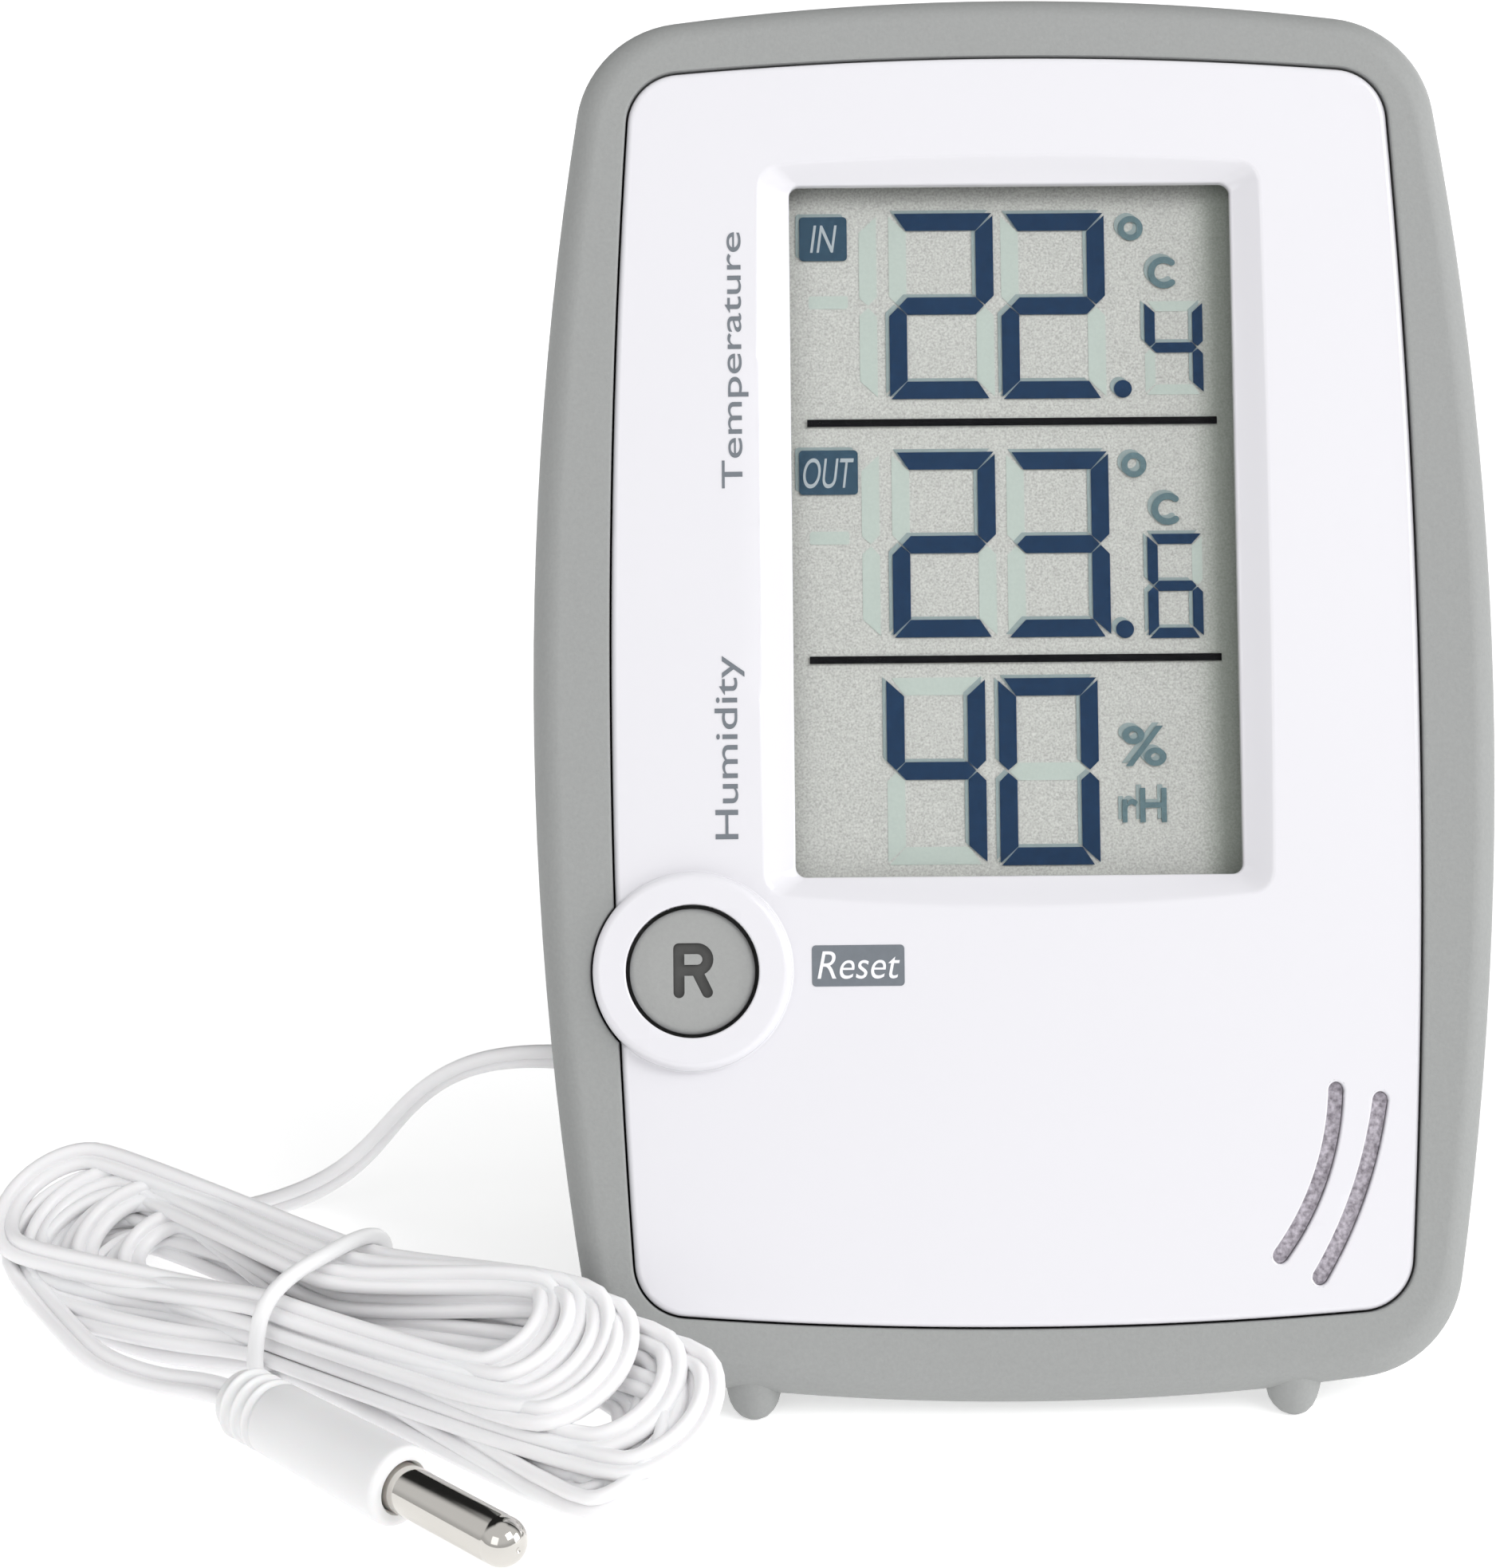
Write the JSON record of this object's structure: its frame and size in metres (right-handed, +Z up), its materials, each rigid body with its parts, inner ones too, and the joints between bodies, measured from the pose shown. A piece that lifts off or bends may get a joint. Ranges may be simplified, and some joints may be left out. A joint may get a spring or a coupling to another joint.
{
  "type": "maximum minimum thermometer",
  "caption": "Leaning barrel-shaped digital maximum minimum thermometer with a display, reset key, vent slots, fold-out stand and a wired probe on a tied cord.",
  "frame": {"origin": "middle of the standing footprint: bottom centre of the box around the instrument without its cord, hank and probe", "axes": "+Z up; the display faces -Y and leans back 25 degrees towards +Y; +X is to the right as the display is read"},
  "size_m": [0.1163, 0.0806, 0.0974],
  "materials": {
    "soft_grey": "fine matt grain",
    "key_grey": "matt",
    "hard_grey": "matt",
    "gloss_white": "high gloss",
    "clear_window": "clear",
    "lcd_glass": "grey-green with dark segments",
    "contact_rubber": "matt",
    "board_green": "satin",
    "black_resin": "satin",
    "bright_steel": "bright",
    "probe_chrome": "polished",
    "vent_felt": "felt",
    "cell_sleeve": "satin sleeve",
    "cord_white": "satin",
    "probe_white": "satin"
  },
  "bodies": {
    "instrument": {"rear_housing": "soft_grey", "front_cover": "gloss_white", "foot_left": "soft_grey", "foot_right": "soft_grey", "display_window": "clear_window", "lcd_panel": "lcd_glass", "lcd_holder": "gloss_white", "contact_strip": "contact_rubber", "circuit_board": "board_green", "chip_cap": "black_resin", "clock_crystal": "bright_steel", "humidity_sensor": "gloss_white", "room_thermistor": "black_resin", "vent_felt": "vent_felt", "switch_body": "bright_steel", "battery": "cell_sleeve", "battery_contact_positive": "bright_steel", "battery_contact_negative": "bright_steel", "battery_spring": "bright_steel", "case_screw_1": "bright_steel", "case_screw_2": "bright_steel", "case_screw_3": "bright_steel", "case_screw_4": "bright_steel", "board_screw_1": "bright_steel", "board_screw_2": "bright_steel", "board_screw_3": "bright_steel", "cord_gland": "hard_grey", "cord_lead": "cord_white", "cord_hank": "cord_white", "hank_tie": "cord_white", "probe_lead": "cord_white", "probe_body": "probe_white", "probe_tip": "probe_chrome"},
    "reset_key": {"reset_button": "key_grey", "switch_plunger": "black_resin"},
    "stand_leaf": {"stand": "hard_grey"},
    "battery_lid": {"battery_door": "hard_grey"}
  },
  "joints": [
    {"name": "reset_button_press", "type": "slide", "parent": "instrument", "child": "reset_key", "axis": [0, 0.9063, -0.4226], "range_m": [0, 0.0005], "stiffness_N_per_m": 1500},
    {"name": "stand_fold", "type": "hinge", "parent": "instrument", "child": "stand_leaf", "pos_m": [0, 0.00831, 0.03953], "axis": [1, 0, 0], "range_deg": [-37.4, 0]},
    {"name": "battery_door_lift", "type": "slide", "parent": "instrument", "child": "battery_lid", "axis": [0, 0.9063, -0.4226], "range_m": [0, 0.012]}
  ]
}
